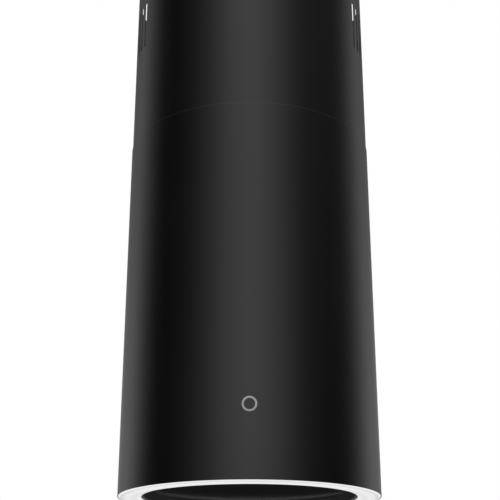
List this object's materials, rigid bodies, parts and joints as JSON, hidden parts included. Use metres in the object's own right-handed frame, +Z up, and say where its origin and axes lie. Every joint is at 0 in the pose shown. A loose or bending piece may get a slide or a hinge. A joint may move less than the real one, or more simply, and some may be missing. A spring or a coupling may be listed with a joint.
{
  "type": "island cooker hood",
  "caption": "Ceiling-hung cylindrical cooker hood: satin black telescopic tubes, side vent slots, white ring light, recessed suction panel, blower, filters and duct collar.",
  "frame": {"origin": "centre of the ceiling bracket's top face, in the plane of the ceiling", "axes": "+Z up, out of the ceiling end; the front, with the badge, faces -Y; the suction panel's hinge is at the rear, +Y"},
  "size_m": [0.3499, 0.3505, 0.7705],
  "materials": {
    "black_powder_coat": "satin powder coat",
    "black_inner_coat": "matt powder coat",
    "black_screw": "black zinc",
    "galvanised_steel": "galvanised, faintly spangled",
    "zinc_fastener": "bright zinc plate",
    "stainless": "fine brushed",
    "badge_metal": "fine brushed",
    "white_acrylic": "opal, lit from behind",
    "white_board": "white solder mask",
    "led_emitter": "phosphor",
    "filter_aluminium": "rolled and expanded sheet",
    "black_nylon": "fine moulded grain",
    "fan_plastic": "glass-filled, moulded grain",
    "motor_shell": "die cast",
    "lamination": "stacked sheet",
    "copper_winding": "enamelled copper wire",
    "circuit_board": "green solder mask",
    "capacitor_can": "drawn can",
    "driver_case": "moulded",
    "cable_rubber": "smooth",
    "magnet_nickel": "nickel plate",
    "charcoal_case": "black moulded"
  },
  "bodies": {
    "ceiling_group": {"ceiling_bracket": "galvanised_steel", "upper_chimney": "black_powder_coat", "chimney_screws": "black_screw", "upper_uprights": "galvanised_steel", "bracket_screws": "zinc_fastener"},
    "hood": {"lower_shell": "black_powder_coat", "shell_nuts": "zinc_fastener", "front_badge": "badge_metal", "light_diffuser": "white_acrylic", "diffuser_clips": "stainless", "led_board": "white_board", "led_chips": "led_emitter", "base_ring": "black_inner_coat", "intake_plate": "black_inner_coat", "intake_screws": "zinc_fastener", "hinge_brackets": "black_inner_coat", "hinge_pins": "stainless", "filter_frame": "filter_aluminium", "filter_mesh": "filter_aluminium", "filter_supports": "black_inner_coat", "magnet_strikers": "stainless", "lower_uprights": "galvanised_steel", "foot_bolts": "zinc_fastener", "clamp_bolts": "zinc_fastener", "blower_plate": "galvanised_steel", "plate_bolts": "zinc_fastener", "outlet_collar": "black_nylon", "collar_screws": "zinc_fastener", "flap_pins": "stainless", "blower_housing_front": "fan_plastic", "blower_housing_rear": "fan_plastic", "housing_screws": "zinc_fastener", "outlet_screws": "zinc_fastener", "inlet_rings": "fan_plastic", "motor_bracket": "galvanised_steel", "motor_bracket_screws": "zinc_fastener", "motor_housing": "motor_shell", "motor_end_cap": "motor_shell", "stator_core": "lamination", "stator_windings": "copper_winding", "motor_bearings": "stainless", "control_box": "galvanised_steel", "control_box_cover": "galvanised_steel", "control_board": "circuit_board", "motor_capacitor": "capacitor_can", "led_driver": "driver_case", "receiver_board": "circuit_board", "receiver_bracket": "black_inner_coat", "mains_cable": "cable_rubber", "cable_gland": "black_nylon"},
    "fan_rotor": {"rotor_core": "lamination", "motor_shaft": "stainless", "impeller": "fan_plastic"},
    "valve_flap_left": {"flap_left": "black_nylon"},
    "valve_flap_right": {"flap_right": "black_nylon"},
    "panel": {"suction_panel": "black_powder_coat", "panel_magnets": "magnet_nickel"},
    "latch": {"filter_latch": "black_nylon"},
    "cassette_front": {"charcoal_filter_front": "charcoal_case"},
    "cassette_rear": {"charcoal_filter_rear": "charcoal_case"}
  },
  "joints": [
    {"name": "height_adjust", "type": "slide", "parent": "ceiling_group", "child": "hood", "axis": [0, 0, -1], "range_m": [-0.128, 0.132]},
    {"name": "fan_spin", "type": "hinge", "parent": "hood", "child": "fan_rotor", "pos_m": [-0.05, 0, -0.578], "axis": [0, 1, 0], "continuous": true},
    {"name": "flap_left_hinge", "type": "hinge", "parent": "hood", "child": "valve_flap_left", "pos_m": [-0.003, 0, -0.4469], "axis": [0, 1, 0], "range_deg": [0, 75]},
    {"name": "flap_right_hinge", "type": "hinge", "parent": "hood", "child": "valve_flap_right", "pos_m": [0.003, 0, -0.4469], "axis": [0, -1, 0], "range_deg": [0, 75]},
    {"name": "panel_hinge", "type": "hinge", "parent": "hood", "child": "panel", "pos_m": [0, 0.128, -0.756], "axis": [1, 0, 0], "range_deg": [0, 88]},
    {"name": "latch_slide", "type": "slide", "parent": "hood", "child": "latch", "axis": [0, 1, 0], "range_m": [0, 0.0055], "stiffness_N_per_m": 300, "springref_m": -0.004},
    {"name": "cassette_front_twist", "type": "hinge", "parent": "hood", "child": "cassette_front", "pos_m": [-0.05, -0.074, -0.578], "axis": [0, 1, 0], "range_deg": [0, 30]},
    {"name": "cassette_rear_twist", "type": "hinge", "parent": "hood", "child": "cassette_rear", "pos_m": [-0.05, 0.074, -0.578], "axis": [0, -1, 0], "range_deg": [0, 30]}
  ]
}
